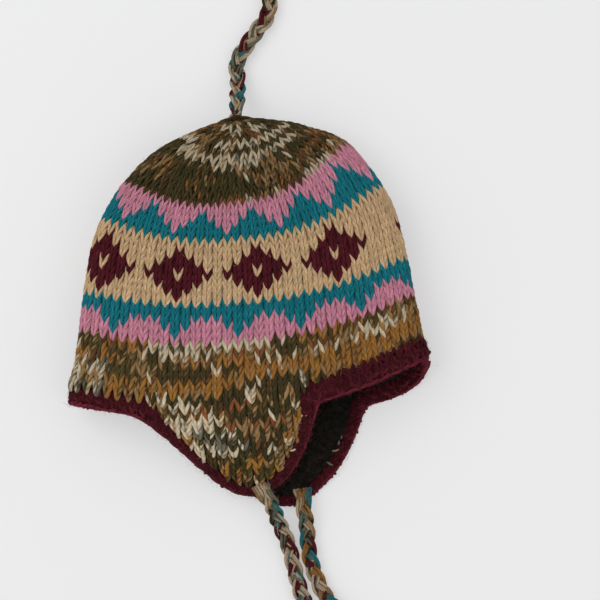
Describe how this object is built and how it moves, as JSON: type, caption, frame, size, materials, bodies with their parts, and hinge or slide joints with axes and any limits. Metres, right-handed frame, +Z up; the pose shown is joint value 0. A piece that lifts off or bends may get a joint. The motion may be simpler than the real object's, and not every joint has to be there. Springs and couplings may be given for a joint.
{
  "type": "chullo hat",
  "caption": "Knitted wool cap with earflaps, lying on its side: patterned crown, thick edging round rim and flaps, dark fleece lining and braided cords ending in tassels.",
  "frame": {"origin": "middle of the hat's footprint on the surface it lies on, without the braids and their tassels", "axes": "+Z up, away from the table; +Y from the head opening towards the crown's tip; +X towards the hat's right fold as seen from above"},
  "size_m": [0.2526, 0.5206, 0.056],
  "materials": {
    "patterned_wool": "bulky wool stockinette in bands of brown, pink, teal, beige and maroon",
    "maroon_wool": "thick fuzzy crocheted wool",
    "black_fleece": "matt brushed fleece",
    "braid_wool": "three-strand braid of mixed wool yarns"
  },
  "bodies": {
    "root": {"crown": "patterned_wool", "crown_lining": "black_fleece", "near_earflap": "patterned_wool", "far_earflap": "patterned_wool", "near_flap_lining": "black_fleece", "far_flap_lining": "black_fleece", "edging": "maroon_wool", "top_braid": "braid_wool", "near_braid": "braid_wool", "far_braid": "braid_wool", "top_tassel": "braid_wool", "near_tassel": "braid_wool", "far_tassel": "braid_wool"}
  },
  "joints": []
}
